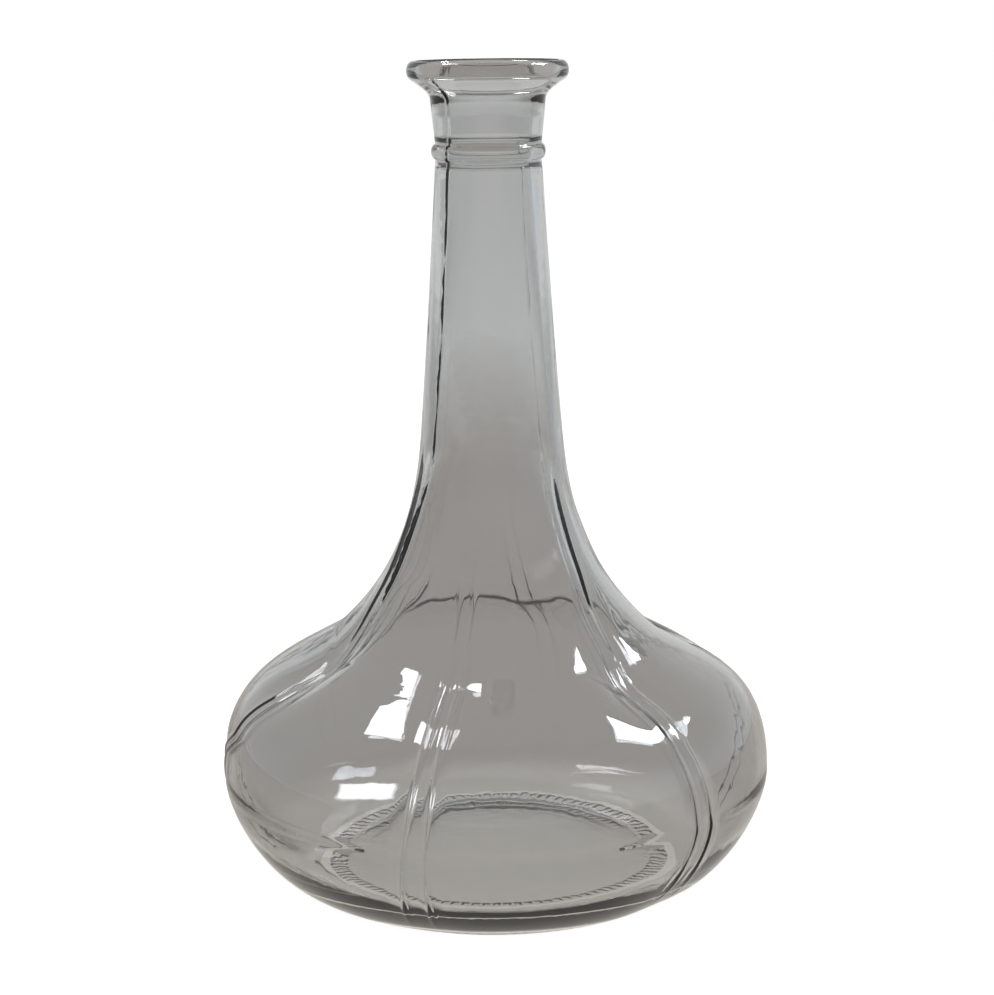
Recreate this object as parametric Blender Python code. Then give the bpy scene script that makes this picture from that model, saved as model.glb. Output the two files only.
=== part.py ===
"""A clear glass carafe, blown in a mould in one piece.

The outside is a family of meridians turned round the Z axis. Six lobes swell from
the shoulder, and between them run six ribs, each a pair of thin ridges that drift
round the body as they go down to the foot. The inside follows the lobes one wall
thickness in, and the mouth opens as a funnel in a thick flared lip.

Metres, +Z up, standing on z = 0 with the axis of the carafe on the Z axis.
"""
import math

import bmesh
import bpy
import numpy as np

MM = 0.001

# Foot and heel
FOOT_RADIUS = 50.8 * MM        # outer edge of the ring that the carafe stands on
FOOT_WIDTH = 7 * MM            # width of that flat ring
PUNT_RISE = 2.5 * MM           # hollow under the base, at its centre
BASE_WALL = 5 * MM             # glass over the foot ring
FLOOR_CROWN = 1.5 * MM         # rise of the inside floor towards its centre
FLOOR_INSET = 2 * MM           # from the foot's outer edge to the edge of the flat floor
LOBE_BELLY_RADIUS = 78.1 * MM  # the widest circle, which touches the six lobes
RIB_BELLY_RADIUS = 77.6 * MM   # the same between the lobes, under the ribs
BELLY_HEIGHT = 30.6 * MM       # from the table up to the widest circle

# Shoulder, where the hollow curve of the neck turns into the swell of the body.
# A lobe turns higher and further out than the rib beside it.
LOBE_TURN_RADIUS = 46.1 * MM
LOBE_TURN_RISE = 39.5 * MM     # above the widest circle
RIB_TURN_RADIUS = 51.4 * MM
RIB_TURN_RISE = 31.8 * MM
LOBE_SWELL_ANGLE = math.radians(31)   # slope of the glass just under the turn, from level
LOBE_FLARE_ANGLE = math.radians(41.5) # and just over it: the step between is the crease
RIB_SWELL_ANGLE = math.radians(22)
RIB_FLARE_ANGLE = math.radians(30)

# How far each curve runs on in the direction of its end, as a Bezier handle
LOBE_FOOT_PULL = 17.5 * MM
LOBE_HEEL_PULL = 6.6 * MM
LOBE_BELLY_PULL = 25.2 * MM
LOBE_SWELL_PULL = 22.8 * MM
LOBE_FLARE_PULL = 22.7 * MM
RIB_FOOT_PULL = 13.5 * MM
RIB_HEEL_PULL = 10.5 * MM
RIB_BELLY_PULL = 27.6 * MM
RIB_SWELL_PULL = 12 * MM
RIB_FLARE_PULL = 13.8 * MM
FLOOR_EDGE_PULL = 17 * MM
NECK_ROOT_PULL = 24.7 * MM

# Neck, bead, collar and lip
FLARE_RISE = 57 * MM         # from the lobe's turn up to the foot of the straight neck
NECK_ROOT_RADIUS = 19.9 * MM
NECK_ROOT_SLOPE = 0.082        # loss of radius per height at the root, and at the top
NECK_LENGTH = 76.5 * MM
NECK_TOP_RADIUS = 14.6 * MM
NECK_TOP_SLOPE = 0.062
BEAD_WIDTH = 4 * MM
BEAD_DEPTH = 1.1 * MM          # how far the bead stands out of the neck
COLLAR_LENGTH = 13.5 * MM
COLLAR_TOP_RADIUS = 15.8 * MM
LIP_RISE = 7.5 * MM            # from the collar up to the widest circle of the lip
LIP_PULL = 4.3 * MM
LIP_RADIUS = 22.1 * MM
LIP_EDGE_ROUND = 1.4 * MM      # rounding from the widest circle to the crest
FUNNEL_DEPTH = 10 * MM         # the mouth narrows to its bore over this depth

# Glass thickness
BODY_WALL = 2.6 * MM
NECK_WALL = 3.1 * MM

# Ribs
RIB_COUNT = 6
FIRST_RIB_ANGLE = math.radians(-103.5)  # from +X, at the shoulder
RIB_DRIFT = math.radians(-4.3)          # how far a rib has turned when it reaches the foot
RIDGE_HEIGHT = 0.6 * MM
RIDGE_WIDTH = 1.8 * MM
RIDGE_SPACING_TOP = 3.8 * MM          # crest to crest, on the shoulder and the flare
RIDGE_SPACING_FOOT = 8 * MM
RIDGE_FADE_LENGTH = 26 * MM           # the ridges rise out of the flare over this height
VALLEY_SHARPNESS = 4.4                # power that makes the lobes broad and the valleys narrow

# Columns across one ridge: place as a share of its width, height as a share of its own
RIDGE_PLACE_SHARES = (-0.5, -0.17, 0.17, 0.5)
RIDGE_HEIGHT_SHARES = (0.0, 1.0, 1.0, 0.0)
LOBE_PLACE_SHARES = (0.09, 0.22, 0.4, 0.6, 0.78, 0.91)  # columns between two ribs

# Rings along each stretch of a meridian
HEEL_RINGS = 8
SWELL_RINGS = 10
FLARE_RINGS = 12
NECK_RINGS = 5
BEAD_RINGS = 6
LIP_RINGS = 6
EDGE_RINGS = 3
FUNNEL_RINGS = 6
FLOOR_RINGS = 6

SECTOR = 2 * math.pi / RIB_COUNT
SECTOR_COLUMNS = 2 * len(RIDGE_PLACE_SHARES) + len(LOBE_PLACE_SHARES)

TURN_HEIGHT = BELLY_HEIGHT + LOBE_TURN_RISE
NECK_ROOT_HEIGHT = TURN_HEIGHT + FLARE_RISE
NECK_TOP_HEIGHT = NECK_ROOT_HEIGHT + NECK_LENGTH
COLLAR_FOOT_HEIGHT = NECK_TOP_HEIGHT + BEAD_WIDTH
COLLAR_TOP_HEIGHT = COLLAR_FOOT_HEIGHT + COLLAR_LENGTH
LIP_HEIGHT = COLLAR_TOP_HEIGHT + LIP_RISE
CREST_HEIGHT = LIP_HEIGHT + LIP_EDGE_ROUND
CREST_RADIUS = LIP_RADIUS - LIP_EDGE_ROUND
BORE_RADIUS = NECK_TOP_RADIUS - NECK_WALL


def bezier(start, start_pull, end_pull, end, rings):
    """Points of a cubic Bezier from start to end, both included; pulls are offsets."""
    t = np.linspace(0, 1, rings + 1)[:, None]
    p0 = np.array(start)
    p3 = np.array(end)
    p1 = p0 + np.array(start_pull)
    p2 = p3 + np.array(end_pull)
    return (1 - t)**3 * p0 + 3 * (1 - t)**2 * t * p1 + 3 * (1 - t) * t**2 * p2 + t**3 * p3


def quarter_ellipse(pole, side, rings):
    """Quarter of an ellipse that leaves pole level and arrives at side upright."""
    turn = np.linspace(0, math.pi / 2, rings + 1)
    radius = pole[0] + (side[0] - pole[0]) * np.sin(turn)
    height = side[1] + (pole[1] - side[1]) * np.cos(turn)
    return np.stack([radius, height], axis=1)


def chain(*runs):
    """Join runs of points, dropping the first point of each run after the first."""
    return np.concatenate([runs[0]] + [run[1:] for run in runs[1:]])


def smooth_step(value):
    """Ease from 0 to 1 with level ends."""
    value = np.clip(value, 0, 1)
    return value * value * (3 - 2 * value)


def body_meridian(belly_radius, turn_radius, turn_rise, turn_angles, pulls):
    """Outer meridian from the foot ring's edge up to the root of the neck."""
    foot_pull, heel_pull, belly_pull, swell_pull, flare_pull = pulls
    belly = (belly_radius, BELLY_HEIGHT)
    turn = (turn_radius, BELLY_HEIGHT + turn_rise)
    under, over = (np.array([-math.cos(angle), math.sin(angle)]) for angle in turn_angles)
    root = (NECK_ROOT_RADIUS, NECK_ROOT_HEIGHT)
    taper = np.array([NECK_ROOT_SLOPE, -1])
    heel = bezier((FOOT_RADIUS, 0), (foot_pull, 0), (0, -heel_pull), belly, HEEL_RINGS)
    swell = bezier(belly, (0, belly_pull), -under * swell_pull, turn, SWELL_RINGS)
    flare = bezier(turn, over * flare_pull, taper * NECK_ROOT_PULL, root, FLARE_RINGS)
    return chain(heel, swell, flare)


def meridian_normals(points):
    """Outward unit normals of meridians that run up the glass, in the r-z plane."""
    run = np.gradient(points, axis=0)
    run = run / np.linalg.norm(run, axis=-1, keepdims=True)
    return np.stack([run[..., 1], -run[..., 0]], axis=-1)


def drift(height):
    """Angle that the ribs have turned through at a height, all of it at the foot."""
    return RIB_DRIFT * smooth_step(1 - height / TURN_HEIGHT)


def column_offsets(rib_line):
    """Angle of each column from its rib, ring by ring, for one sector."""
    height = rib_line[:, 1]
    way_down = smooth_step(1 - height / TURN_HEIGHT)
    spacing = RIDGE_SPACING_TOP + (RIDGE_SPACING_FOOT - RIDGE_SPACING_TOP) * way_down
    places = np.array(RIDGE_PLACE_SHARES) * RIDGE_WIDTH
    across = np.concatenate([places[None] - spacing[:, None] / 2, places[None] + spacing[:, None] / 2], axis=1)
    on_rib = across / rib_line[:, :1]
    edge = on_rib[:, -1:]
    on_lobe = edge + (SECTOR - 2 * edge) * np.array(LOBE_PLACE_SHARES)
    even = (np.arange(SECTOR_COLUMNS) - len(RIDGE_PLACE_SHARES) + 1 / 2) * SECTOR / SECTOR_COLUMNS
    level_out = smooth_step((height - TURN_HEIGHT) / FLARE_RISE)[:, None]
    return np.concatenate([on_rib, on_lobe], axis=1) * (1 - level_out) + even * level_out


def valley(angle):
    """1 on a rib and 0 in the middle of a lobe."""
    return ((1 + np.cos(RIB_COUNT * angle)) / 2)**VALLEY_SHARPNESS


def ridge_rise(height):
    """Height of the ridges: none on the foot ring and on the straight neck."""
    fade_in = smooth_step((NECK_ROOT_HEIGHT - height) / RIDGE_FADE_LENGTH)
    fade_out = smooth_step(height / RIDGE_WIDTH)
    return RIDGE_HEIGHT * fade_in * fade_out


def turned(points, angles):
    """Place points of the r-z plane round the axis, at the given angles."""
    radius, height, angle = np.broadcast_arrays(points[..., 0], points[..., 1], angles)
    return np.stack([radius * np.cos(angle), radius * np.sin(angle), height], axis=-1)


def body_lines():
    """Meridian of a lobe's middle and meridian of a rib, ring for ring."""
    lobe_pulls = (LOBE_FOOT_PULL, LOBE_HEEL_PULL, LOBE_BELLY_PULL, LOBE_SWELL_PULL, LOBE_FLARE_PULL)
    rib_pulls = (RIB_FOOT_PULL, RIB_HEEL_PULL, RIB_BELLY_PULL, RIB_SWELL_PULL, RIB_FLARE_PULL)
    lobe_angles = (LOBE_SWELL_ANGLE, LOBE_FLARE_ANGLE)
    rib_angles = (RIB_SWELL_ANGLE, RIB_FLARE_ANGLE)
    lobe = body_meridian(LOBE_BELLY_RADIUS, LOBE_TURN_RADIUS, LOBE_TURN_RISE, lobe_angles, lobe_pulls)
    rib = body_meridian(RIB_BELLY_RADIUS, RIB_TURN_RADIUS, RIB_TURN_RISE, rib_angles, rib_pulls)
    return lobe, rib


def body_rings():
    """Outer rings of the ribbed body, from the foot to the neck root."""
    lobe, rib = body_lines()
    offsets = np.tile(column_offsets(rib), (1, RIB_COUNT))
    ribs = np.repeat(np.arange(RIB_COUNT) * SECTOR, SECTOR_COLUMNS)
    points = lobe[:, None] + (rib - lobe)[:, None] * valley(offsets)[..., None]
    shares = np.array(RIDGE_HEIGHT_SHARES * 2 + (0,) * len(LOBE_PLACE_SHARES))
    rise = ridge_rise(points[..., 1]) * np.tile(shares, RIB_COUNT)
    points = points + meridian_normals(points) * rise[..., None]
    points[0, :, 1] = 0
    angles = FIRST_RIB_ANGLE + ribs + offsets + drift(rib[:, 1:])
    return turned(points, angles)


def round_angles():
    """Angles of the evenly spaced columns above the ribs: every second column."""
    column = np.arange(0, SECTOR_COLUMNS * RIB_COUNT, 2)
    return (column - len(RIDGE_PLACE_SHARES) + 1 / 2) * SECTOR / SECTOR_COLUMNS


def inner_body_rings():
    """Inner rings from the neck root down to the edge of the floor."""
    lobe, rib = body_lines()
    offsets = round_angles()
    points = lobe[:, None] + (rib - lobe)[:, None] * valley(offsets)[None, :, None]
    up = smooth_step((lobe[:, 1] - TURN_HEIGHT) / FLARE_RISE)
    wall = BODY_WALL + (NECK_WALL - BODY_WALL) * up
    points = points - meridian_normals(points) * wall[:, None, None]
    angles = FIRST_RIB_ANGLE + offsets + drift(rib[:, 1:])
    above_belly = turned(points, angles)[HEEL_RINGS:]
    floor_edge = (FOOT_RADIUS - FLOOR_INSET, BASE_WALL)
    side = (RIB_BELLY_RADIUS - BODY_WALL, BELLY_HEIGHT)
    heel = bezier(floor_edge, (FLOOR_EDGE_PULL, 0), (0, -LOBE_HEEL_PULL), side, FLOOR_RINGS)[:-1]
    heel_angles = FIRST_RIB_ANGLE + offsets + drift(heel[:, 1:])
    return np.concatenate([turned(heel[:, None], heel_angles), above_belly])[::-1]


def neck_meridian():
    """Outer meridian from the neck root to the crest, then down the funnel to the bore."""
    third = NECK_LENGTH / 3
    neck = bezier((NECK_ROOT_RADIUS, NECK_ROOT_HEIGHT), (-NECK_ROOT_SLOPE * third, third),
                  (NECK_TOP_SLOPE * third, -third), (NECK_TOP_RADIUS, NECK_TOP_HEIGHT), NECK_RINGS)
    across = np.linspace(0, math.pi, BEAD_RINGS + 1)
    bead_radius = NECK_TOP_RADIUS + BEAD_DEPTH * np.sin(across)
    bead_height = NECK_TOP_HEIGHT + BEAD_WIDTH * (1 - np.cos(across)) / 2
    bead = np.stack([bead_radius, bead_height], axis=1)
    collar = np.array([(NECK_TOP_RADIUS, COLLAR_FOOT_HEIGHT), (COLLAR_TOP_RADIUS, COLLAR_TOP_HEIGHT)])
    lip = bezier(collar[-1], (0, LIP_PULL), (0, -LIP_PULL), (LIP_RADIUS, LIP_HEIGHT), LIP_RINGS)
    crest = (CREST_RADIUS, CREST_HEIGHT)
    edge = quarter_ellipse(crest, (LIP_RADIUS, LIP_HEIGHT), EDGE_RINGS)[::-1]
    bore_top = (BORE_RADIUS, CREST_HEIGHT - FUNNEL_DEPTH)
    funnel = quarter_ellipse(crest, bore_top, FUNNEL_RINGS)
    bore_foot = np.array([bore_top, (BORE_RADIUS, NECK_TOP_HEIGHT)])
    return chain(neck, bead, collar, lip, edge, funnel, bore_foot)


def ring_of(bm, places):
    """Vertices of one ring."""
    return [bm.verts.new(place) for place in places]


def skin(bm, lower, upper):
    """Quads between two rings of as many vertices."""
    for i in range(len(lower)):
        j = (i + 1) % len(lower)
        bm.faces.new((lower[i], lower[j], upper[j], upper[i]))


def skin_halving(bm, fine, coarse):
    """Triangles between a ring and one with half as many vertices."""
    for i in range(len(coarse)):
        a, b, c = (fine[(2 * i + k) % len(fine)] for k in range(3))
        start = coarse[i]
        end = coarse[(i + 1) % len(coarse)]
        bm.faces.new((a, b, start))
        bm.faces.new((b, end, start))
        bm.faces.new((b, c, end))


def carafe_mesh():
    """The whole carafe as one closed skin: outside up, over the lip, and inside down."""
    bm = bmesh.new()
    outside = [ring_of(bm, ring) for ring in body_rings()]
    for lower, upper in zip(outside, outside[1:]):
        skin(bm, lower, upper)

    angles = FIRST_RIB_ANGLE + round_angles()
    neck = neck_meridian()
    upper_rings = [ring_of(bm, turned(point[None], angles)) for point in neck[1:]]
    skin_halving(bm, outside[-1], upper_rings[0])
    inside = [ring_of(bm, ring) for ring in inner_body_rings()]
    smooth_rings = upper_rings + inside
    for lower, upper in zip(smooth_rings, smooth_rings[1:]):
        skin(bm, lower, upper)
    floor_centre = bm.verts.new((0, 0, BASE_WALL + FLOOR_CROWN))
    close_fan(bm, inside[-1], floor_centre)

    foot_inner = FOOT_RADIUS - FOOT_WIDTH
    foot_angles = np.array([math.atan2(v.co.y, v.co.x) for v in outside[0]])
    ring_edge = ring_of(bm, turned(np.array([[foot_inner, 0]]), foot_angles))
    skin(bm, ring_edge, outside[0])
    punt_edge = ring_of(bm, turned(np.array([[foot_inner - PUNT_RISE, PUNT_RISE / 2]]), foot_angles[::2]))
    skin_halving(bm, ring_edge, punt_edge)
    punt_centre = bm.verts.new((0, 0, PUNT_RISE))
    close_fan(bm, punt_edge, punt_centre)

    bmesh.ops.recalc_face_normals(bm, faces=bm.faces)
    mesh = bpy.data.meshes.new("glass_carafe")
    bm.to_mesh(mesh)
    bm.free()
    mesh.shade_smooth()
    mesh.set_sharp_from_angle(angle=math.radians(35))
    return mesh


def close_fan(bm, ring, centre):
    """Triangles from a ring to the vertex on the axis."""
    for i in range(len(ring)):
        bm.faces.new((ring[i], ring[(i + 1) % len(ring)], centre))


def clear_glass():
    """Soda-lime glass: colourless, with a trace of grey green in its depth."""
    material = bpy.data.materials.new("clear_soda_lime_glass")
    material.use_nodes = True
    shader = material.node_tree.nodes["Principled BSDF"]
    shader.inputs["Base Color"].default_value = (0.93, 0.95, 0.94, 1)
    shader.inputs["Metallic"].default_value = 0
    shader.inputs["Roughness"].default_value = 0.02
    shader.inputs["IOR"].default_value = 1.52
    shader.inputs["Transmission Weight"].default_value = 1
    return material


for old in list(bpy.data.objects):
    bpy.data.objects.remove(old)

carafe = bpy.data.objects.new("glass_carafe", carafe_mesh())
carafe.data.materials.append(clear_glass())
bpy.context.scene.collection.objects.link(carafe)
print("height", round(CREST_HEIGHT / MM, 2), "mm,", len(carafe.data.polygons), "faces")
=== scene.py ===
# %% [markdown]
# # A clear glass carafe
#
# The real thing is one piece of clear soda-lime glass, blown in a two-part mould: a squat body
# with six lobes, six swirled pairs of thin ridges between them, a long tapering neck with a bead
# under its collar, and a thick flared lip. It has no stopper, handle or label, so its look comes
# from one closed skin alone: from how thick its wall is, how the light bends in it, and what
# stands around it to be reflected.
#
# The plan is to load the CAD model as a fixed frame, put the camera where the photographer stood,
# work out a finer skin of the same carafe with numpy, and light it like a plain product shot.

# %% Load the frame
import math

import bmesh
import bpy
import numpy as np
from mathutils import Matrix, Vector


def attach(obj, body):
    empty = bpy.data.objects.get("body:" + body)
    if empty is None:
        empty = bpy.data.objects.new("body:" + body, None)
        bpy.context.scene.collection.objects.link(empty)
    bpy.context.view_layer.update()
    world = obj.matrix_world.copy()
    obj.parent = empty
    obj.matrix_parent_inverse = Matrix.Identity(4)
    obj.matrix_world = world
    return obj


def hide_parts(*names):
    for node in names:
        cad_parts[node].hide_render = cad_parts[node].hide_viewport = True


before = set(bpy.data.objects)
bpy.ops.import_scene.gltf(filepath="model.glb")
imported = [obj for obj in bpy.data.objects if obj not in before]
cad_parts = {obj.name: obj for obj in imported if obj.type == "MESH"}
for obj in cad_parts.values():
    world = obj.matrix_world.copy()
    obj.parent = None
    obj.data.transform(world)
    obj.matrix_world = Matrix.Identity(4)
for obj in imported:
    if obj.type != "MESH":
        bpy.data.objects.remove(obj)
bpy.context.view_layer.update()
MM = 0.001


# %% [markdown]
# Two small helpers. Colours are written as sRGB hex values, as a colour card gives them, and a
# shader wants linear light, so one function turns them. The other adds a node, sets its inputs
# and links it, so that a material reads as a list of nodes.

# %% Helpers for colours and nodes
def linear(hex_colour):
    """sRGB hex to linear: each channel is divided by 12.92 when dark, else raised to 2.4."""
    srgb = np.array([int(hex_colour[i:i + 2], 16) for i in (1, 3, 5)]) / 255
    light = np.where(srgb <= 0.04045, srgb / 12.92, ((srgb + 0.055) / 1.055)**2.4)
    return (*light.tolist(), 1)


def add_node(tree, kind, settings=None, inputs=None, links=None):
    """Add a node, set its properties and inputs, and link other nodes' outputs to its inputs."""
    node = tree.nodes.new(kind)
    for name, value in (settings or {}).items():
        setattr(node, name, value)
    for name, value in (inputs or {}).items():
        node.inputs[name].default_value = value
    for name, source in (links or {}).items():
        tree.links.new(source, node.inputs[name])
    return node


print("white is", linear("#ffffff"))

# %% [markdown]
# The camera comes first, because everything is judged through it. It stands 63 cm in front of the
# carafe and 25 cm up, looks down by 12 degrees through a long lens, and is rolled by less than a
# degree, as a hand-held shot is. A camera in Blender looks along its own -Z, so its matrix is made
# of the picture's right, its up, and the reverse of the view.

# %% Camera
PHOTO_WIDTH = 994               # pixels
FOCAL_LENGTH = 2294.9           # pixels
SENSOR_WIDTH = 36               # millimetres
CAMERA_PLACE = Vector((1.27, -633.2, 246)) * MM
CAMERA_TILT = math.radians(12.24)
CAMERA_ROLL = math.radians(-0.65)
NEAREST_SEEN, FARTHEST_SEEN = 0.01, 50

ahead = Vector((0, math.cos(CAMERA_TILT), -math.sin(CAMERA_TILT)))
level_right = Vector((1, 0, 0))
level_up = Vector((0, math.sin(CAMERA_TILT), math.cos(CAMERA_TILT)))
right = level_right * math.cos(CAMERA_ROLL) + level_up * math.sin(CAMERA_ROLL)
up = level_up * math.cos(CAMERA_ROLL) - level_right * math.sin(CAMERA_ROLL)

lens = bpy.data.cameras.new("camera")
lens.sensor_fit = "HORIZONTAL"
lens.sensor_width = SENSOR_WIDTH
lens.lens = FOCAL_LENGTH * SENSOR_WIDTH / PHOTO_WIDTH
lens.clip_start = NEAREST_SEEN
lens.clip_end = FARTHEST_SEEN
camera = bpy.data.objects.new("camera", lens)
aim = Matrix((right, up, -ahead)).transposed().to_4x4()
camera.matrix_world = Matrix.Translation(CAMERA_PLACE) @ aim
bpy.context.scene.collection.objects.link(camera)
bpy.context.scene.camera = camera
print("lens", round(lens.lens, 1), "mm")

# %% [markdown]
# Most of these sizes are the CAD model's own. The lip is rounder, and the skin is cut much finer.
# A place on it is a radius and a height. It stands on z = 0, and the neck starts where the flare
# ends.

# %% Sizes of the carafe
FOOT_RADIUS = 50.8 * MM
PUNT_RISE = 2.5 * MM            # the hollow under the foot
BASE_WALL = 5 * MM
FLOOR_CROWN = 1.5 * MM          # how much higher the floor is in its middle
FLOOR_RADIUS = 48.8 * MM
BELLY_HEIGHT = 30.6 * MM
LOBE_BELLY_RADIUS = 78.1 * MM
RIB_BELLY_RADIUS = 77.6 * MM
SHOULDER_HEIGHT = 70.1 * MM
LOBE_SHOULDER = (46.1 * MM, SHOULDER_HEIGHT)
RIB_SHOULDER = (51.4 * MM, 62.4 * MM)
NECK_ROOT = (19.9 * MM, 127.1 * MM)
NECK_TOP = (14.6 * MM, 203.6 * MM)
NECK_ROOT_TAPER = 0.082         # inwards for each step up
NECK_TOP_TAPER = 0.062
BEAD_WIDTH = 4 * MM
BEAD_DEPTH = 1.1 * MM
COLLAR_TOP = (15.8 * MM, 219.9 * MM)
LIP_UNDER = (21.1 * MM, 225 * MM)
LIP_SIDE = (22.1 * MM, 227.4 * MM)
CREST = (20.2 * MM, 230 * MM)
LIP_INNER = (18.2 * MM, 228.2 * MM)
FUNNEL_FOOT = (12.7 * MM, 218.6 * MM)
BODY_WALL = 2.6 * MM
NECK_WALL = 3.1 * MM
BORE_RADIUS = NECK_TOP[0] - NECK_WALL
print("bore", round(2 * BORE_RADIUS / MM, 1), "mm, lip", round(2 * LIP_SIDE[0] / MM, 1), "mm")


# %% [markdown]
# Three helpers for curves. A Bezier curve draws each stretch of the outline, because its two
# pulls say how it leaves one point and how it arrives at the next.

# %% Helpers for curves
def bezier(start, start_pull, end_pull, end, steps):
    """Cubic Bezier: the points' weights are (1-t)^3, 3t(1-t)^2, 3t^2(1-t) and t^3."""
    t = np.linspace(0, 1, steps + 1)[:, None]
    p0, p3 = np.array(start), np.array(end)
    p1, p2 = p0 + start_pull, p3 + end_pull
    return (1 - t)**3 * p0 + 3 * t * (1 - t)**2 * p1 + 3 * t**2 * (1 - t) * p2 + t**3 * p3


def chain(*runs):
    """Join runs of points, without the first point of each run after the first."""
    return np.concatenate([runs[0]] + [run[1:] for run in runs[1:]])


def smooth_step(value):
    """3v^2 - 2v^3 between 0 and 1, which starts and ends level."""
    value = np.clip(value, 0, 1)
    return value * value * (3 - 2 * value)


print("half way up a smooth step is", smooth_step(0.5))

# %% [markdown]
# A meridian is the line that a plane through the axis cuts in the glass. There are two: one over
# the middle of a lobe, and one along a rib, and the glass between blends from one to the other.
# Each is three Bezier curves: the heel, the swell up to the shoulder, and the flare into the neck.

# %% Meridians of a lobe and of a rib
HEEL_STEPS, SWELL_STEPS, FLARE_STEPS = 30, 44, 50
LOBE_SLOPES = (31, 41.5)        # degrees above level, under and over the shoulder's crease
RIB_SLOPES = (22, 30)
LOBE_PULLS = (17.5, 6.6, 25.2, 22.8, 22.7)      # mm: foot, heel, belly, swell, flare
RIB_PULLS = (13.5, 10.5, 27.6, 12, 13.8)
NECK_ROOT_PULL = 24.7 * MM


def body_meridian(belly_radius, shoulder, slopes, pulls):
    """Heel, swell and flare; pulls are how far each curve runs on in the direction of its end."""
    foot_pull, heel_pull, belly_pull, swell_pull, flare_pull = np.array(pulls) * MM
    belly = np.array((belly_radius, BELLY_HEIGHT))
    under, over = (np.array((-math.cos(slope), math.sin(slope))) for slope in np.radians(slopes))
    neck_pull = np.array((NECK_ROOT_TAPER, -1)) * NECK_ROOT_PULL
    heel = bezier((FOOT_RADIUS, 0), (foot_pull, 0), (0, -heel_pull), belly, HEEL_STEPS)
    swell = bezier(belly, (0, belly_pull), -under * swell_pull, shoulder, SWELL_STEPS)
    flare = bezier(shoulder, over * flare_pull, neck_pull, NECK_ROOT, FLARE_STEPS)
    return chain(heel, swell, flare)


lobe_line = body_meridian(LOBE_BELLY_RADIUS, LOBE_SHOULDER, LOBE_SLOPES, LOBE_PULLS)
rib_line = body_meridian(RIB_BELLY_RADIUS, RIB_SHOULDER, RIB_SLOPES, RIB_PULLS)
print("widest", round(2 * lobe_line[:, 0].max() / MM, 1), "mm")

# %% [markdown]
# The ribs are 60 degrees apart and swirl a little on their way down. All but the first also bow
# to one side or the other, as hot glass sags before it is cold, and the left one does so most.
# Each rib is a pair of thin ridges that spread towards the foot.

# %% Paths of the ribs
RIB_COUNT = 6
FIRST_RIB = math.radians(-103.5)
RIB_DRIFT = math.radians(-4.3)
BOW_HEIGHTS = np.array((0, 30, 38, 46, 51, 57, 61, 66, 70, 80, 90)) * MM
# One row of degrees for each rib, from the foot up.
BOWS = np.radians(((0, 0, 0, 0, 0, 0, 0, 0, 0, 0, 0),
                   (3, 2, 0.5, -1.5, -2.7, -2.7, -2.4, -1, 0.2, -0.2, 2),
                   (0, 0, 0, 0, 1, 2, 3, 5, 6, 6, 7),
                   (4, 2.5, 2.3, 2, 2, 2, 2, 2.2, 2.4, 3.2, 4.5),
                   (0, 0, 0, 0, 0, 0, 0, -2, -4, -8, -8),
                   (-12, -12, -8, 1.5, 3, 6, 6, 6.3, 6, 5, 7)))
SHOULDER_SPACING = 4.4 * MM     # from one ridge of a pair to the other
FOOT_SPACING = 7 * MM


def rib_angles(height):
    """Angle of each rib at each height: 60 degrees apart, plus the drift, plus its own bow."""
    swirl = RIB_DRIFT * smooth_step(1 - height / SHOULDER_HEIGHT)
    ribs = FIRST_RIB + np.arange(RIB_COUNT + 1) * math.tau / RIB_COUNT + swirl[:, None]
    for rib, bow in enumerate(BOWS):
        ribs[:, rib] += np.interp(height, BOW_HEIGHTS, bow)
    return ribs


def ridge_spacing(height):
    """Crest to crest of a pair: a smooth step from its spacing on the shoulder to the foot's."""
    spread = smooth_step(1 - height / SHOULDER_HEIGHT)
    return SHOULDER_SPACING + (FOOT_SPACING - SHOULDER_SPACING) * spread


body_height = rib_line[:, 1]
ribs = rib_angles(body_height)
print("ribs at the foot", np.degrees(ribs[0]).round(1))

# %% [markdown]
# The mould had two halves, and where they met a hair of glass stands up. These seams run up the
# neck from the ridges of two opposite ribs. One starts on the left and wanders towards the front
# on its way up. The other is half a turn on.

# %% Path of the mould seams
SEAM_HEIGHTS = (72, 81, 92, 99, 109, 120, 139, 160, 180, 199, 213)      # millimetres
SEAM_TURNS = (-62.8, -63.2, -62.6, -62.8, -59.5, -53.5, -51.7, -49.1, -48.6, -49, -44)
FRONT = -90


def seam_angle(height):
    """Angle of the left seam: its degrees from the front, read between the listed heights."""
    return np.radians(FRONT + np.interp(height / MM, SEAM_HEIGHTS, SEAM_TURNS))


print("the seam starts at", round(math.degrees(seam_angle(0)), 1), "degrees")

# %% [markdown]
# Every column of the skin is an angle that changes with height. Near a rib the columns crowd
# together, so that each thin ridge is eight columns wide. Above the flare they spread out again,
# except at the two mould seams.

# %% Angles of the columns
SECTOR_COLUMNS = 40
COLUMNS = RIB_COUNT * SECTOR_COLUMNS
RIDGE_COLUMNS = 8
GAP_COLUMNS = 3
RIDGE_WIDTH = 2.2 * MM
SEAM_BAND = 1.8 * MM
SEAM_RIB = 5


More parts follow.
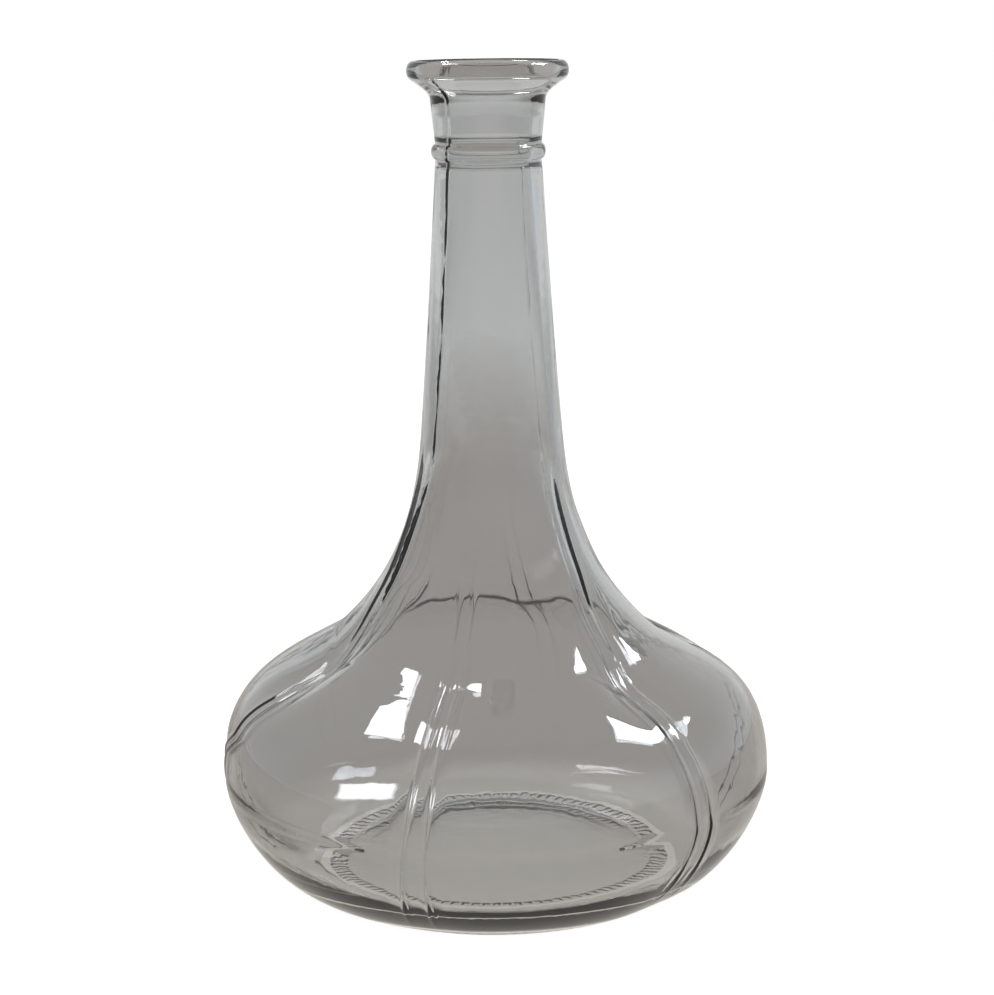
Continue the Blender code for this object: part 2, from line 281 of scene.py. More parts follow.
def body_columns(radius, height, ribs):
    """Eight columns on each ridge, three between the two, and the rest spread over the lobe."""
    ridge = np.linspace(-0.5, 0.5, RIDGE_COLUMNS) * RIDGE_WIDTH
    half = ridge_spacing(height)[:, None] / 2
    gap = (half - RIDGE_WIDTH / 2) * np.linspace(-0.5, 0.5, GAP_COLUMNS)
    on_rib = np.concatenate([ridge - half, gap, ridge + half], axis=1) / radius[:, None]
    lobe_columns = SECTOR_COLUMNS - on_rib.shape[1]
    share = (np.arange(lobe_columns) + 1) / (lobe_columns + 1)
    start = ribs[:, :-1, None] + on_rib[:, None, -1:]
    end = ribs[:, 1:, None] + on_rib[:, None, :1]
    on_lobe = start + (end - start) * share
    sectors = np.concatenate([ribs[:, :-1, None] + on_rib[:, None], on_lobe], axis=2)
    return sectors.reshape(len(radius), -1)


def neck_columns(radius, height):
    """Eight columns in a narrow band at each seam, and even steps from one band to the next.

    The edges of the bands are knots that tie a column's number to an angle, and the angles
    between are interpolated. Columns past the last knot keep the band's narrow step, which
    leaves a wide step from the last column round to the first.
    """
    seam_ridge_column = SEAM_RIB * SECTOR_COLUMNS + RIDGE_COLUMNS + GAP_COLUMNS - COLUMNS
    bands = np.arange(3)
    starts = seam_ridge_column + bands * COLUMNS // 2
    knots = np.stack([starts, starts + RIDGE_COLUMNS - 1], axis=1).ravel()
    seams = seam_angle(height)[:, None, None] + bands[:, None] * math.pi
    edges = np.array((-1, 1)) * SEAM_BAND / 2 / radius[:, None, None]
    turns = (seams + edges).reshape(len(radius), -1)
    index = np.arange(COLUMNS)
    left = np.clip(np.searchsorted(knots, index, side="right") - 1, 0, len(knots) - 2)
    share = (index - knots[left]) / (knots[left + 1] - knots[left])
    return turns[:, left] * (1 - share) + turns[:, left + 1] * share


climb = (lobe_line[:, 1] - SHOULDER_HEIGHT) / (NECK_ROOT[1] - SHOULDER_HEIGHT)
climb = smooth_step(climb)[:, None]
crowded = body_columns(rib_line[:, 0], body_height, ribs)
body_angle = crowded * (1 - climb) + neck_columns(rib_line[:, 0], body_height) * climb
least_step = np.degrees(np.diff(body_angle, axis=1).min())
print("columns", body_angle.shape, "least step", round(float(least_step), 3), "degrees")

# %% [markdown]
# Between a rib and the middle of the next lobe the radius blends by a raised cosine to a power,
# which keeps the lobes broad and the valleys narrow. The front and rear ribs lie far from the
# seams, and their valleys are shallower.

# %% Valleys between the lobes
VALLEY_SHARPNESS = 4.4
SHALLOW_RIB = math.radians(77)
SHALLOW_BREADTH = math.radians(80)
SHALLOW_SHARE = 0.35


def bump(distance, width):
    """Squared cosine that is 1 at no distance and 0 from half the width on."""
    return np.cos(np.clip(distance / width, -0.5, 0.5) * math.pi)**2


def to_nearest_side(angle):
    """Angle less the nearest multiple of half a turn."""
    return (angle + math.pi / 2) % math.pi - math.pi / 2


def place_on_ribs(angle, ribs):
    """For each angle: the share of the way from one rib to the next, that way, and the nearest."""
    angle = ribs[:, :1] + (angle - ribs[:, :1]) % math.tau
    rib = np.clip((angle[..., None] >= ribs[:, None, :-1]).sum(axis=-1) - 1, 0, RIB_COUNT - 1)
    here = np.take_along_axis(ribs, rib, axis=1)
    step = np.take_along_axis(ribs, rib + 1, axis=1) - here
    nearest = rib + ((angle - here) > step / 2)
    return (angle - here) / step, step, nearest


def lobed(first_ring, angle, share):
    """Blend of the two meridians, from a ring up: a raised cosine of the share, to a power."""
    shallow = 1 - (1 - SHALLOW_SHARE) * bump(to_nearest_side(angle - SHALLOW_RIB), SHALLOW_BREADTH)
    valley = ((1 + np.cos(math.tau * share)) / 2)**VALLEY_SHARPNESS * shallow
    lobe = lobe_line[first_ring:, None]
    return lobe + (rib_line[first_ring:, None] - lobe) * valley[..., None]


share, step, nearest = place_on_ribs(body_angle, ribs)
body = lobed(0, body_angle, share)
print("body rings", body.shape[0])

# %% [markdown]
# Ridges and seams stand out along the glass's own normal. A very small, slow wave on top is the
# mould's chill: it breaks up the highlights as on real blown glass. The seam is uneven along its
# length, and the one at the rear is fainter. Both start at the shoulder, close to a rib's ridge.
# The pairs of ridges at the rear are fainter too.

# %% Waves, ridges and seams
# Each sine has its turns, its millimetres for a radian, its start and its share.
CHILL_SINES = ((5, 9, 1, 1), (11, -6, 4, 0.7), (23, 3.7, 0, 0.5))
CHILL_OUTSIDE = 0.025 * MM
CHILL_FADE = 6 * MM
SEAM_WIDTH = 1.3 * MM
SEAM_RISE = 0.75 * MM
SEAM_WANDER = 0.16 * MM
SEAM_START, SEAM_FADE = 68 * MM, 14 * MM
REAR_SEAM_SHARE = 0.35
RIDGE_RISE = 0.4 * MM
RIDGE_SHARES = np.array((1.1, 1.1, 0.5, 0.75, 0.4, 1.1, 1.1))       # the last is the first again
RIDGE_TOP_FADE = 26 * MM
RIDGE_START, RIDGE_FOOT_FADE = 3 * MM, 13 * MM


def meridian_normals(points):
    """Turn the direction along the meridian by a right angle, so that it points outwards."""
    run = np.gradient(points, axis=0)
    run = run / np.linalg.norm(run, axis=-1, keepdims=True)
    return np.stack([run[..., 1], -run[..., 0]], axis=-1)


def chill_wave(angle, height, size):
    """Slow uneven wave: three sines round and up the carafe that never line up."""
    waves = [part * np.sin(turns * angle + height / MM / climb_mm + start)
             for turns, climb_mm, start, part in CHILL_SINES]
    return size * sum(waves) / sum(part for *_, part in CHILL_SINES)


def seam_rise(angle, radius, height):
    """A bump across the seam, times a height that sines of sines vary along its length."""
    h = height / MM
    path = seam_angle(height) + SEAM_WANDER / radius * np.sin(h * 1.9 + 2 * np.sin(h * 0.37))
    rough = 0.65 + 0.35 * np.sin(h * 2.7 + 3 * np.sin(h * 0.61))
    rough *= np.where(np.cos(angle - path) > 0, 1, REAR_SEAM_SHARE)
    across = bump(to_nearest_side(angle - path) * radius, SEAM_WIDTH)
    return SEAM_RISE * rough * across * smooth_step((height - SEAM_START) / SEAM_FADE)


radius, height = body[..., 0], body[..., 1]
from_rib = np.where(share < 0.5, share, share - 1) * step * rib_line[:, :1]
from_ridge = np.abs(from_rib) - ridge_spacing(body_height)[:, None] / 2
fade = smooth_step((NECK_ROOT[1] - height) / RIDGE_TOP_FADE)
fade *= smooth_step((height - RIDGE_START) / RIDGE_FOOT_FADE)
rise = RIDGE_RISE * RIDGE_SHARES[nearest] * fade * bump(from_ridge, RIDGE_WIDTH)
rise += seam_rise(body_angle, radius, height)
rise += chill_wave(body_angle, height, CHILL_OUTSIDE) * smooth_step(height / CHILL_FADE)
body = body + meridian_normals(body) * rise[..., None]
body[0, :, 1] = 0
print("widest radius", round(body[..., 0].max() / MM, 2), "mm")

# %% [markdown]
# The neck, bead, collar and lip are turned: one profile for all columns. The profile goes up the
# outside to the crest. Only the seams and the chill wave make it other than round, and both fade
# out under the lip.

# %% Neck, bead, collar and lip
NECK_STEPS, BEAD_STEPS, COLLAR_STEPS = 26, 16, 5
LIP_PULLS = np.array(((0.15, 1.8), (-2.4, -1.7), (0.7, 0.5), (0, -1.1))) * MM
CHILL_NECK = 0.02 * MM
PLAIN_LIP, LIP_FADE = 3 * MM, 4 * MM


def quarter_ellipse(pole, side, steps):
    """Quarter of an ellipse that leaves pole level and arrives at side upright."""
    turn = np.linspace(0, math.pi / 2, steps + 1)
    return np.stack([pole[0] + (side[0] - pole[0]) * np.sin(turn),
                     side[1] + (pole[1] - side[1]) * np.cos(turn)], axis=1)


third = (NECK_TOP[1] - NECK_ROOT[1]) / 3
neck_line = bezier(NECK_ROOT, (-NECK_ROOT_TAPER * third, third),
                   (NECK_TOP_TAPER * third, -third), NECK_TOP, NECK_STEPS)
half_turn = np.linspace(0, math.pi, BEAD_STEPS + 1)
bead_line = np.stack([NECK_TOP[0] + BEAD_DEPTH * np.sin(half_turn),
                      NECK_TOP[1] + BEAD_WIDTH * (1 - np.cos(half_turn)) / 2], axis=1)
collar_line = np.linspace((NECK_TOP[0], NECK_TOP[1] + BEAD_WIDTH), COLLAR_TOP, COLLAR_STEPS + 1)
lip_line = chain(bezier(COLLAR_TOP, LIP_PULLS[0], LIP_PULLS[1], LIP_UNDER, steps=12),
                 bezier(LIP_UNDER, LIP_PULLS[2], LIP_PULLS[3], LIP_SIDE, steps=6))
edge_line = quarter_ellipse(CREST, LIP_SIDE, steps=8)[::-1]
turned_line = chain(neck_line, bead_line, collar_line, lip_line, edge_line)
top_angle = neck_columns(turned_line[:, 0], turned_line[:, 1])
top = np.broadcast_to(turned_line[:, None], (*top_angle.shape, 2))
rise = seam_rise(top_angle, top[..., 0], top[..., 1])
rise += chill_wave(top_angle, top[..., 1], CHILL_NECK)
rise *= smooth_step((CREST[1] - PLAIN_LIP - top[..., 1]) / LIP_FADE)
top = top + meridian_normals(top) * rise[..., None]
print("top rings", top.shape[0])

# %% [markdown]
# The mouth is turned too: from the crest down a funnel to the bore, and down the inside of the
# neck, one wall in from its outside. The inner skin's columns are evenly spaced, because it has
# no ridges: the mould pressed them only into the outside.

# %% Mouth and bore
FUNNEL_PULLS = np.array(((-1, -2.2), (0.5, 2.2))) * MM
BORE_STEPS = 4
RIB_MIDDLE_COLUMN = RIDGE_COLUMNS + GAP_COLUMNS // 2
WAVE_STRETCH = 0.8
MOUTH_FADE = 12 * MM


def all_round(line):
    """Repeat a profile in every column."""
    return np.broadcast_to(line[:, None], (len(line), COLUMNS, 2)).copy()


even = FIRST_RIB + (np.arange(COLUMNS) - RIB_MIDDLE_COLUMN) * math.tau / COLUMNS
funnel_line = chain(quarter_ellipse(CREST, LIP_INNER, steps=6),
                    bezier(LIP_INNER, FUNNEL_PULLS[0], FUNNEL_PULLS[1], FUNNEL_FOOT, steps=8))
bore_line = np.linspace(FUNNEL_FOOT, (BORE_RADIUS, NECK_TOP[1]), BORE_STEPS + 1)
neck_inner = neck_line - meridian_normals(neck_line) * NECK_WALL
mouth = all_round(chain(funnel_line, bore_line, neck_inner[::-1][1:]))
still_lip = smooth_step((CREST[1] - mouth[..., 1]) / MOUTH_FADE)
mouth[..., 0] += chill_wave(even, mouth[..., 1] * WAVE_STRETCH, CHILL_NECK) * still_lip
print("mouth rings", mouth.shape[0])

# %% [markdown]
# Inside the body the skin follows the lobes one wall further in. Its wave is stronger than the
# outside's, because nothing but air shaped it: that wave is what makes things seen through
# old-fashioned glass swim a little. From the belly down a rounder heel leads to the floor, which
# rises slightly to its middle.

# %% Inside of the body, heel and floor
CHILL_INSIDE = 0.035 * MM
CHILL_HEEL = 0.02 * MM
INNER_HEEL_PULLS = np.array(((20.4, 0), (0, -6.6))) * MM
FLOOR_STEPS = 8

even_rings = np.broadcast_to(even, body_angle[HEEL_STEPS:].shape)
inner_share, _, _ = place_on_ribs(even_rings, ribs[HEEL_STEPS:])
inner = lobed(HEEL_STEPS, even, inner_share)
wall = BODY_WALL + (NECK_WALL - BODY_WALL) * climb[HEEL_STEPS:]
wall = wall + chill_wave(even, inner[..., 1] * WAVE_STRETCH, CHILL_INSIDE)
inner = inner - meridian_normals(inner) * wall[..., None]
heel_line = bezier((FLOOR_RADIUS, BASE_WALL), INNER_HEEL_PULLS[0], INNER_HEEL_PULLS[1],
                   (RIB_BELLY_RADIUS - BODY_WALL, BELLY_HEIGHT), steps=16)
heel = all_round(heel_line[:-1])
heel[..., 0] += chill_wave(even, heel[..., 1] * WAVE_STRETCH, CHILL_HEEL)
floor_radius = FLOOR_RADIUS * (1 - np.linspace(0, 1, FLOOR_STEPS + 1)[1:-1])
floor_height = BASE_WALL + FLOOR_CROWN * (1 - (floor_radius / FLOOR_RADIUS)**2)
floor = all_round(np.stack([floor_radius, floor_height], axis=1))
inside = np.concatenate([mouth[1:], inner[::-1][1:], heel[::-1], floor])
print("inside rings", inside.shape[0])

# %% [markdown]
# The carafe stands on a flat ring, and inside that ring is a band of short radial notches, which
# the mould's base plate leaves so that the hot glass doesn't slide. Seen through the body they
# are the sparkling circle on the floor. They need three columns for each one of the skin. Inside
# the band the glass hollows up to the punt.

# %% Foot ring with its notches
FOOT_RINGS = np.array((50.2, 48.3, 48, 47.4, 46.4, 45.2, 44.2, 43.7, 43.4, 42, 36, 28, 20, 12, 5)) * MM
NOTCH_COUNT = 100
NOTCH_DEPTH = 0.5 * MM
NOTCH_START, NOTCH_END = 43.4 * MM, 48.2 * MM
NOTCH_RAMP = 1 * MM
PUNT_EDGE, PUNT_EDGE_SHARE = 0.125, 0.2         # how far in its edge goes, and how much it rises
FINE = 3 * COLUMNS

foot_angle = even[0] + np.arange(FINE) * math.tau / FINE
band = smooth_step((NOTCH_END - FOOT_RINGS) / NOTCH_RAMP)
band *= smooth_step((FOOT_RINGS - NOTCH_START) / NOTCH_RAMP)
notch = NOTCH_DEPTH * band[:, None] * (1 + np.cos(NOTCH_COUNT * foot_angle)) / 2
outwards = np.clip(FOOT_RINGS / NOTCH_START, 0, 1)
punt = PUNT_EDGE_SHARE * smooth_step((1 - outwards) / PUNT_EDGE)
punt = PUNT_RISE * (punt + (1 - PUNT_EDGE_SHARE) * (1 - outwards**2))
foot = np.stack([np.broadcast_to(FOOT_RINGS[:, None], notch.shape), notch + punt[:, None]], axis=-1)
notch_pitch = math.pi * (NOTCH_START + NOTCH_END) / NOTCH_COUNT
print("notches every", round(notch_pitch / MM, 2), "mm")


# %% [markdown]
# All the rings go into one mesh. The outside, the top and the inside have as many columns, so
# they are one grid. The foot has three times as many, and a band of triangles joins the two. A
# vertex on the axis closes the floor, and another the punt.

# %% Helpers that join rings
def turned(points, angle):
    """Place points of the meridian plane round the axis: x = r cos, y = r sin, z = height."""
    radius, height = points[..., 0], points[..., 1]
    return np.stack([radius * np.cos(angle), radius * np.sin(angle), height], axis=-1).reshape(-1, 3)


def quads(first, rings, columns):
    """Corner numbers of the quads between rings; the last column is next to the first."""
    ring, column = np.meshgrid(np.arange(rings - 1), np.arange(columns), indexing="ij")
    a = first + ring * columns + column
    b = first + ring * columns + (column + 1) % columns
    return np.stack([a, b, b + columns, a + columns], axis=-1).reshape(-1, 4)


def fan(first, columns, centre):
    """Triangles from a ring to one vertex on the axis."""
    column = np.arange(columns)
    return np.stack([first + column, first + (column + 1) % columns, np.full(columns, centre)], axis=1)


print("a fan of three:", fan(0, 3, 9).tolist())

# %% Put the rings together
body_angle[0] = even
rings = len(body) + len(top) - 1 + len(inside)
grid = np.concatenate([turned(body, body_angle), turned(top[1:], top_angle[1:]), turned(inside, even)])
floor_centre = len(grid)
foot_start = floor_centre + 1
punt_centre = foot_start + len(foot) * FINE
places = np.concatenate([grid, [(0, 0, BASE_WALL + FLOOR_CROWN)],
                         turned(foot, foot_angle), [(0, 0, PUNT_RISE)]])

coarse = np.arange(COLUMNS)
after = (coarse + 1) % COLUMNS
fine = foot_start + 3 * coarse
last = foot_start + 3 * after
join = np.concatenate([np.stack(corners, axis=1) for corners in (
    (fine, fine + 1, coarse), (fine + 1, after, coarse),
    (fine + 1, fine + 2, after), (fine + 2, last, after))])
four_sided = np.concatenate([quads(0, rings, COLUMNS), quads(foot_start, len(foot), FINE)[:, ::-1]])
three_sided = np.concatenate([fan((rings - 1) * COLUMNS, COLUMNS, floor_centre), join,
                              fan(punt_centre - FINE, FINE, punt_centre)[:, ::-1]])
glass_mesh = bpy.data.meshes.new("carafe_glass")
glass_mesh.from_pydata(places.tolist(), [], four_sided.tolist() + three_sided.tolist())
glass_mesh.validate()
glass_mesh.shade_smooth()
carafe = bpy.data.objects.new("carafe_glass", glass_mesh)
bpy.context.scene.collection.objects.link(carafe)
print("carafe", len(glass_mesh.vertices), "vertices,",
      2 * len(four_sided) + len(three_sided), "triangles")

# %% Check that the skin is closed and faces outwards
check = bmesh.new()
check.from_mesh(glass_mesh)
bmesh.ops.recalc_face_normals(check, faces=check.faces)
open_edges = sum(1 for edge in check.edges if not edge.is_manifold)
print("open edges", open_edges, "glass volume", round(check.calc_volume(signed=True) * 1e6, 1), "ml")
check.to_mesh(glass_mesh)
check.free()

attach(carafe, "root")
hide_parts("glass_carafe")

# %% [markdown]
# The material is clear soda-lime glass. It bends light by 1.52, its surface is fire-polished, and
# it is only faintly coloured: iron in the sand takes a little of the light for every millimetre
# that it travels in the wall. That is why the thick places, such as the edge of the neck and the
# base, are darker and greener than the thin ones. Volume Absorption does just that. The base
# colour is a light grey too, which takes a little at each surface that the light crosses. That
# grey is painted shade for the dull light around the carafe, not a colour of the glass. A faint
# orange-peel from the mould lies on the surface, with a grain of about 4 mm.

# %% Clear soda-lime glass
GLASS_IOR = 1.52
# Painted shade: a grey that clear glass does not have, for the dull light around the carafe.
SURFACE_GREY_PAINTED_SHADE = "#dfdfdf"
WALL_TINT = "#838a84"
WALL_DENSITY = 30               # per metre
PEEL_GRAIN = 4                  # millimetres from one dimple to the next
PEEL_DEPTH = 0.5 * MM
PEEL_STRENGTH = 0.05

glass = bpy.data.materials.new("clear_soda_lime_glass_blown_in_a_mould")
glass.use_nodes = True
tree = glass.node_tree
tree.nodes.clear()
coordinates = add_node(tree, "ShaderNodeTexCoord")
peel = add_node(tree, "ShaderNodeTexNoise",
                inputs={"Scale": 1000 / PEEL_GRAIN, "Detail": 1.5, "Roughness": 0.4},
                links={"Vector": coordinates.outputs["Object"]})
dimples = add_node(tree, "ShaderNodeBump", inputs={"Strength": PEEL_STRENGTH, "Distance": PEEL_DEPTH},
                   links={"Height": peel.outputs["Fac"]})
skin = add_node(tree, "ShaderNodeBsdfPrincipled",
                inputs={"Base Color": linear(SURFACE_GREY_PAINTED_SHADE), "Roughness": 0.0,
                        "IOR": GLASS_IOR, "Transmission Weight": 1},
                links={"Normal": dimples.outputs["Normal"]})
depth = add_node(tree, "ShaderNodeVolumeAbsorption",
                 inputs={"Color": linear(WALL_TINT), "Density": WALL_DENSITY})
add_node(tree, "ShaderNodeOutputMaterial",
         links={"Surface": skin.outputs["BSDF"], "Volume": depth.outputs["Volume"]})
glass_mesh.materials.append(glass)
print("glass", linear(WALL_TINT))


# %% [markdown]
# Clear glass has no look of its own: it shows what stands around it. The camera sees a white sheet
# and a white world, and glass in front of pure white would almost vanish. So the rays that glass
# bends or mirrors see a pale grey room instead. Light Path tells the two apart. Diffuse rays see
# neither, only a dim world, so the lamps still draw the carafe's soft shadow on the sheet.

# %% Which ray is asking
SMOOTH = {"interpolation_type": "SMOOTHSTEP"}
COLOURS = {"data_type": "RGBA"}
MIX_A, MIX_B, MIX_RESULT = 6, 7, 2      # a Mix node's sockets for colours


def ray_shares(tree):
    """Two outputs: 1 for a camera ray, and 1 for a ray that glass has bent or mirrored."""
    path = add_node(tree, "ShaderNodeLightPath")
    by_glass = add_node(tree, "ShaderNodeMath", {"operation": "MAXIMUM"},
                        links={0: path.outputs["Is Glossy Ray"], 1: path.outputs["Is Transmission Ray"]})
    return path.outputs["Is Camera Ray"], by_glass.outputs["Value"]


print("a colour mix reads sockets", MIX_A, "and", MIX_B)

# %% Floor sheet
FLOOR_SIZE = 4
FLOOR_CORNERS = 128
floor_mesh = bpy.data.meshes.new("pale_floor")
turn = np.arange(FLOOR_CORNERS) * math.tau / FLOOR_CORNERS
ring = np.stack([FLOOR_SIZE * np.cos(turn), FLOOR_SIZE * np.sin(turn), np.zeros(FLOOR_CORNERS)], axis=1)
floor_mesh.from_pydata(ring.tolist(), [], [list(range(FLOOR_CORNERS))])
floor_sheet = bpy.data.objects.new("pale_floor", floor_mesh)
bpy.context.scene.collection.objects.link(floor_sheet)
print("floor", 2 * FLOOR_SIZE, "m across")

# %% [markdown]
# What the glass sees of the sheet is painted light and shade: pale under the carafe, painted light
# that its base gathers there, then a warmer grey, painted shadow around the carafe, and pale again
# far off. A colour ramp only runs from 0 to 1, so it reads half the distance. To the left and the
# right the nearer part is dimmer, painted shade which gives the shoulders their shade.

# %% Painted light and shade of the sheet
# Each shade stands at half its distance from the axis, in metres.
# Painted light under the carafe, a ring of painted shadow around it, and painted side shade, seen only by
# the glass.
PAINTED_SHEET_LIGHT_AND_SHADOW = ((0, "#e0dbd3"), (0.03, "#ded9d1"), (0.048, "#9f978c"), (0.3, "#a1998f"), (0.56, "#dfe0df"))
PAINTED_SIDE_SHADE = "#8e8f8d"
SIDE_START, SIDE_END = 0.25, 0.8
NEAR_START, NEAR_END = 1.0, 2.6

paper = bpy.data.materials.new("matt_white_paper")
paper.use_nodes = True
tree = paper.node_tree
tree.nodes.clear()
place = add_node(tree, "ShaderNodeTexCoord")
across = add_node(tree, "ShaderNodeSeparateXYZ", links={"Vector": place.outputs["Object"]})
distance = add_node(tree, "ShaderNodeVectorMath", {"operation": "LENGTH"},
                    links={0: place.outputs["Object"]})
half_way = add_node(tree, "ShaderNodeMath", {"operation": "MULTIPLY"}, inputs={1: 0.5},
                    links={0: distance.outputs["Value"]})
shade = add_node(tree, "ShaderNodeValToRGB", links={"Fac": half_way.outputs["Value"]})
for stop in range(len(PAINTED_SHEET_LIGHT_AND_SHADOW) - 2):
    shade.color_ramp.elements.new(0.5)
for element, (half_distance, colour) in zip(shade.color_ramp.elements, PAINTED_SHEET_LIGHT_AND_SHADOW):
    element.position = half_distance
    element.color = linear(colour)
sideways = add_node(tree, "ShaderNodeMath", {"operation": "ABSOLUTE"}, links={0: across.outputs["X"]})
side_share = add_node(tree, "ShaderNodeMapRange", SMOOTH,
                      inputs={"From Min": SIDE_START, "From Max": SIDE_END, "To Min": 0.0, "To Max": 1.0},
                      links={"Value": sideways.outputs["Value"]})
near_share = add_node(tree, "ShaderNodeMapRange", SMOOTH,
                      inputs={"From Min": NEAR_START, "From Max": NEAR_END, "To Min": 1.0, "To Max": 0.0},
                      links={"Value": distance.outputs["Value"]})
dim_share = add_node(tree, "ShaderNodeMath", {"operation": "MULTIPLY"},
                     links={0: side_share.outputs["Result"], 1: near_share.outputs["Result"]})
dimmed = add_node(tree, "ShaderNodeMix", COLOURS, inputs={MIX_B: linear(PAINTED_SIDE_SHADE)},
                  links={"Factor": dim_share.outputs["Value"], MIX_A: shade.outputs["Color"]})
print("shades", len(PAINTED_SHEET_LIGHT_AND_SHADOW))

# %% [markdown]
# The curved glass gathers the light of a window in a bright spot on the sheet behind it. Path
# tracing finds such a spot only after a very long time, so it is drawn: a small rectangle with
# soft edges that only the glass sees. It is the highlight low on the left.

# %% Spot of gathered light
SPOT_PLACE = (-0.0415, 0.052, 0)
SPOT_HALF_SIZE = (0.009, 0.008, 1)
SPOT_LIGHT = (2.6, 2.65, 2.7, 1)
SPOT_EDGE = (0.85, 1.15)        # shares of the half size where it starts and ends to fade

centred = add_node(tree, "ShaderNodeMapping", {"vector_type": "TEXTURE"},
                   inputs={"Location": SPOT_PLACE, "Scale": SPOT_HALF_SIZE},
                   links={"Vector": place.outputs["Object"]})
sides = add_node(tree, "ShaderNodeVectorMath", {"operation": "ABSOLUTE"},
                 links={0: centred.outputs["Vector"]})
edges = add_node(tree, "ShaderNodeSeparateXYZ", links={"Vector": sides.outputs["Vector"]})
farthest = add_node(tree, "ShaderNodeMath", {"operation": "MAXIMUM"},
                    links={0: edges.outputs["X"], 1: edges.outputs["Y"]})
spot_share = add_node(tree, "ShaderNodeMapRange", SMOOTH,
                      inputs={"From Min": SPOT_EDGE[0], "From Max": SPOT_EDGE[1],
                              "To Min": 1.0, "To Max": 0.0},
                      links={"Value": farthest.outputs["Value"]})
in_glass = add_node(tree, "ShaderNodeMix", COLOURS, inputs={MIX_B: SPOT_LIGHT},
                    links={"Factor": spot_share.outputs["Result"], MIX_A: dimmed.outputs[MIX_RESULT]})
print("spot", [round(2 * side / MM) for side in SPOT_HALF_SIZE[:2]], "mm")

# %% Light of the sheet
SHEET_WHITE = (0.95, 0.95, 0.95, 1)
SHEET_REFLECTANCE = (0.22, 0.22, 0.22, 1)

to_camera, to_glass = ray_shares(tree)
seen = add_node(tree, "ShaderNodeMix", COLOURS, inputs={MIX_B: SHEET_WHITE},
                links={"Factor": to_camera, MIX_A: in_glass.outputs[MIX_RESULT]})
by_eye = add_node(tree, "ShaderNodeMath", {"operation": "MAXIMUM"}, links={0: to_camera, 1: to_glass})
glow = add_node(tree, "ShaderNodeEmission",
                links={"Color": seen.outputs[MIX_RESULT], "Strength": by_eye.outputs["Value"]})
matt = add_node(tree, "ShaderNodeBsdfDiffuse", inputs={"Color": SHEET_REFLECTANCE})
both = add_node(tree, "ShaderNodeAddShader",
                links={0: glow.outputs["Emission"], 1: matt.outputs["BSDF"]})
add_node(tree, "ShaderNodeOutputMaterial", links={"Surface": both.outputs["Shader"]})
floor_mesh.materials.append(paper)
print("sheet nodes", len(tree.nodes))

# %% [markdown]
# The world is white for the camera. For the glass it is a room: pale at the level of the sheet,
# in front and behind, a slightly darker grey to the left and overhead, and a cooler, brighter
# wall low on the right, which lights the right edge of the neck. The world's Generated
# coordinate is the direction of the view, from -1 to 1 on each axis.

# %% Room
CEILING = "#cacccc"
RIGHT_WALL = "#e4eaf0"
SHEET_LEVEL = "#dfe0df"
DIFFUSE_LIGHT = (0.3, 0.3, 0.3, 1)
WHITE = (1, 1, 1, 1)
LOW, HIGH = 0.15, 0.5
AHEAD, ASIDE = 0.4, 0.8
RIGHT_START, RIGHT_END = 0.2, 0.8

room = bpy.data.worlds.new("studio")
room.use_nodes = True
bpy.context.scene.world = room
tree = room.node_tree
tree.nodes.clear()
direction = add_node(tree, "ShaderNodeTexCoord")
parts = add_node(tree, "ShaderNodeSeparateXYZ", links={"Vector": direction.outputs["Generated"]})
low_share = add_node(tree, "ShaderNodeMapRange", SMOOTH,
                     inputs={"From Min": LOW, "From Max": HIGH, "To Min": 1.0, "To Max": 0.0},
                     links={"Value": parts.outputs["Z"]})
sideways = add_node(tree, "ShaderNodeMath", {"operation": "ABSOLUTE"}, links={0: parts.outputs["X"]})
ahead_share = add_node(tree, "ShaderNodeMapRange", SMOOTH,
                       inputs={"From Min": AHEAD, "From Max": ASIDE, "To Min": 1.0, "To Max": 0.0},
                       links={"Value": sideways.outputs["Value"]})
sheet_share = add_node(tree, "ShaderNodeMath", {"operation": "MULTIPLY"},
                       links={0: low_share.outputs["Result"], 1: ahead_share.outputs["Result"]})
right_share = add_node(tree, "ShaderNodeMapRange", SMOOTH,
                       inputs={"From Min": RIGHT_START, "From Max": RIGHT_END},
                       links={"Value": parts.outputs["X"]})
right_low = add_node(tree, "ShaderNodeMath", {"operation": "MULTIPLY"},
                     links={0: right_share.outputs["Result"], 1: low_share.outputs["Result"]})
walls = add_node(tree, "ShaderNodeMix", COLOURS,
                 inputs={MIX_A: linear(CEILING), MIX_B: linear(RIGHT_WALL)},
                 links={"Factor": right_low.outputs["Value"]})
surround = add_node(tree, "ShaderNodeMix", COLOURS, inputs={MIX_B: linear(SHEET_LEVEL)},
                    links={"Factor": sheet_share.outputs["Value"], MIX_A: walls.outputs[MIX_RESULT]})
to_camera, to_glass = ray_shares(tree)
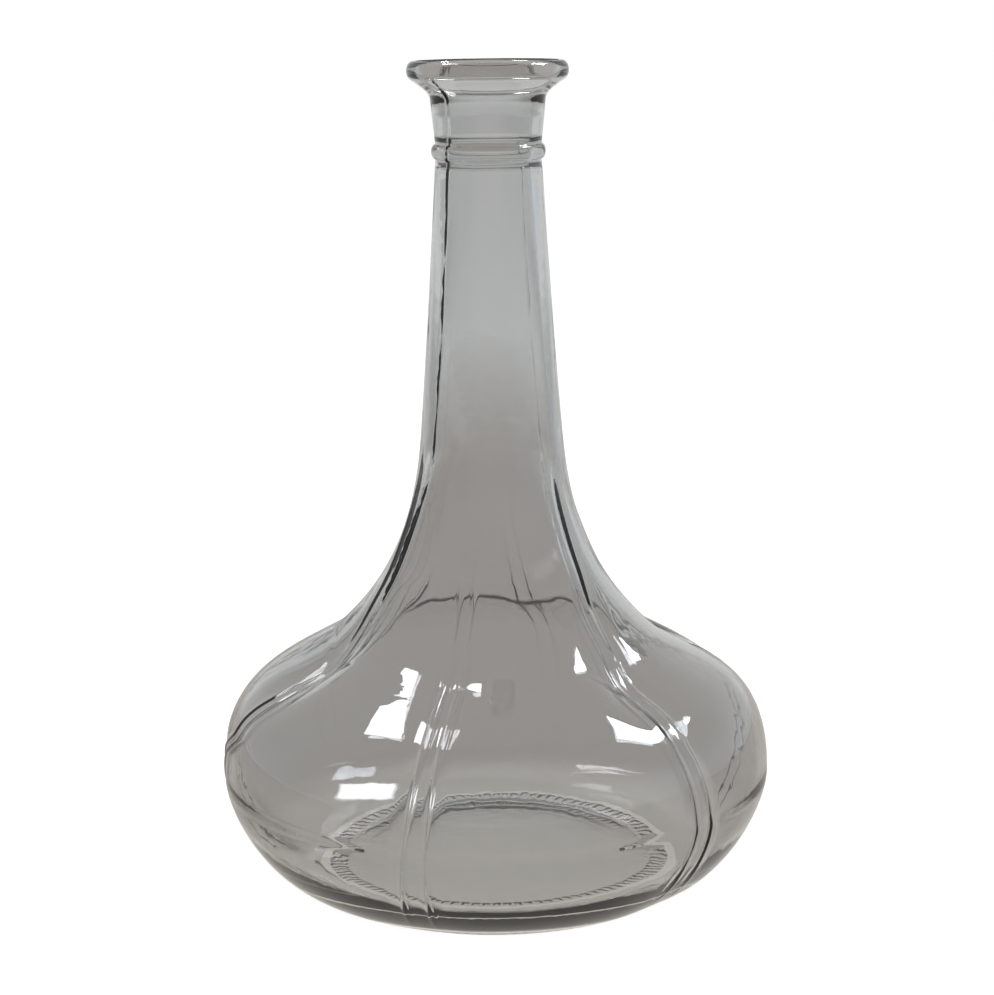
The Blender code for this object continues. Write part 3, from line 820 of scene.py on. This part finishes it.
shown = add_node(tree, "ShaderNodeMix", COLOURS, inputs={MIX_A: DIFFUSE_LIGHT},
                 links={"Factor": to_glass, MIX_B: surround.outputs[MIX_RESULT]})
final = add_node(tree, "ShaderNodeMix", COLOURS, inputs={MIX_B: WHITE},
                 links={"Factor": to_camera, MIX_A: shown.outputs[MIX_RESULT]})
sky = add_node(tree, "ShaderNodeBackground", links={"Color": final.outputs[MIX_RESULT]})
add_node(tree, "ShaderNodeOutputWorld", links={"Surface": sky.outputs["Background"]})
print("room nodes", len(tree.nodes))

# %% [markdown]
# Two windows give the other highlights. Both are behind the carafe and high up, one on the right
# and one on the left. A lamp in front would draw a white streak down the neck, and the real neck
# has none.

# %% Windows
WINDOW_DISTANCE = 2.0
BODY_MIDDLE = Vector((0, 0, 60 * MM))


def window(name, azimuth, elevation, wide, high, brightness, colour):
    """A lamp that fills an angle as seen from the carafe; azimuth 0 is away from the camera."""
    a, e = math.radians(azimuth), math.radians(elevation)
    towards = Vector((math.sin(a) * math.cos(e), math.cos(a) * math.cos(e), math.sin(e)))
    light = bpy.data.lights.new(name, "AREA")
    light.shape = "RECTANGLE"
    light.size = 2 * WINDOW_DISTANCE * math.tan(math.radians(wide) / 2)
    light.size_y = 2 * WINDOW_DISTANCE * math.tan(math.radians(high) / 2)
    light.energy = brightness * math.pi * light.size * light.size_y
    light.color = linear(colour)[:3]
    lamp = bpy.data.objects.new(name, light)
    lamp.location = BODY_MIDDLE + towards * WINDOW_DISTANCE
    lamp.rotation_euler = towards.to_track_quat("Z", "Y").to_euler()
    lamp.visible_camera = False
    bpy.context.scene.collection.objects.link(lamp)
    print(name, round(light.energy, 1), "W")


window("side_window", azimuth=66, elevation=50, wide=16, high=15, brightness=28, colour="#eef4ff")
window("skylight", azimuth=-60, elevation=64, wide=14, high=13, brightness=18, colour="#f8f9ff")

# %% [markdown]
# Plain colour management, so that a white sheet is white.

# %% Finish
bpy.context.scene.view_settings.view_transform = "Standard"
